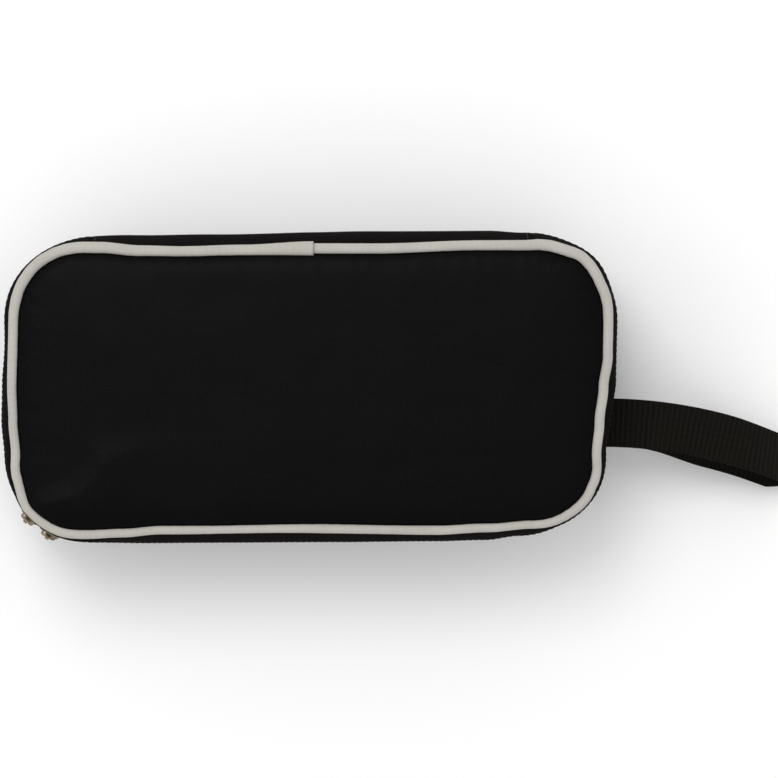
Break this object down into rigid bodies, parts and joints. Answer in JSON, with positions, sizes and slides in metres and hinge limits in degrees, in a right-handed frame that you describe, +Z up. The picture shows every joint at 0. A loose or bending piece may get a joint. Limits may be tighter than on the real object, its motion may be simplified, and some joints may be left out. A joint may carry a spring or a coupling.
{
  "type": "golf shoe bag",
  "caption": "Soft rectangular zip-round shoe bag with rounded corners, contrasting piped rims, padded panels, a cloth hinge and a ribbed webbing wrist loop.",
  "frame": {"origin": "centre of the flat back panel that the bag lies on", "axes": "+X along the bag towards the wrist strap, +Y towards the cloth hinge, +Z up through the lid"},
  "size_m": [0.4825, 0.1899, 0.116],
  "materials": {
    "panel_cloth": "matte",
    "gusset_cloth": "matte",
    "lining_cloth": "matte",
    "piping_cloth": "matte",
    "piping_cord": "matte",
    "binding_tape": "matte",
    "stiffening_board": "matte",
    "padding_foam": "matte",
    "zip_tape": "matte",
    "zip_coil": "matte",
    "zip_metal": "satin",
    "webbing": "matte"
  },
  "bodies": {
    "base": {"base_panel": "panel_cloth", "base_lining": "lining_cloth", "base_gusset": "gusset_cloth", "base_hinge_gusset": "gusset_cloth", "base_gusset_lining": "lining_cloth", "base_piping_cover": "piping_cloth", "base_piping_cord": "piping_cord", "base_seam_binding": "binding_tape", "base_zip_tape": "zip_tape", "base_zip_coil": "zip_coil", "base_zip_stops": "zip_metal", "base_board": "stiffening_board", "strap_anchor": "webbing"},
    "lid": {"lid_panel": "panel_cloth", "lid_lining": "lining_cloth", "lid_gusset": "gusset_cloth", "lid_hinge_gusset": "gusset_cloth", "lid_gusset_lining": "lining_cloth", "lid_piping_cover": "piping_cloth", "lid_piping_cord": "piping_cord", "lid_seam_binding": "binding_tape", "lid_zip_tape": "zip_tape", "lid_zip_coil": "zip_coil", "lid_zip_stops": "zip_metal", "lid_foam": "padding_foam"},
    "left_slider": {"left_slider": "zip_metal"},
    "left_pull": {"left_pull": "zip_metal"},
    "front_slider": {"front_slider": "zip_metal"},
    "front_pull": {"front_pull": "zip_metal"},
    "wrist_strap": {"wrist_strap": "webbing"}
  },
  "joints": [
    {"name": "lid_hinge", "type": "hinge", "parent": "base", "child": "lid", "pos_m": [0, 0.0953, 0.058], "axis": [-1, 0, 0], "range_deg": [0, 180]},
    {"name": "left_slider_travel", "type": "hinge", "parent": "base", "child": "left_slider", "pos_m": [-0.133, -0.04, 0.058], "axis": [0, 0, -1], "range_deg": [0, 44]},
    {"name": "front_slider_travel", "type": "hinge", "parent": "base", "child": "front_slider", "pos_m": [-0.133, -0.04, 0.058], "axis": [0, 0, 1], "range_deg": [0, 29]},
    {"name": "left_pull_swing", "type": "hinge", "parent": "left_slider", "child": "left_pull", "pos_m": [-0.17505, -0.08132, 0.058], "axis": [-0.7009, 0.7133, 0], "range_deg": [0, 170]},
    {"name": "front_pull_swing", "type": "hinge", "parent": "front_slider", "child": "front_pull", "pos_m": [-0.16203, -0.09131, 0.058], "axis": [-0.8704, 0.4924, 0], "range_deg": [0, 170]},
    {"name": "strap_swing", "type": "hinge", "parent": "base", "child": "wrist_strap", "pos_m": [0.1935, -0.0218, 0.0511], "axis": [-0.2045, -0.9789, 0], "range_deg": [-20, 80]}
  ]
}
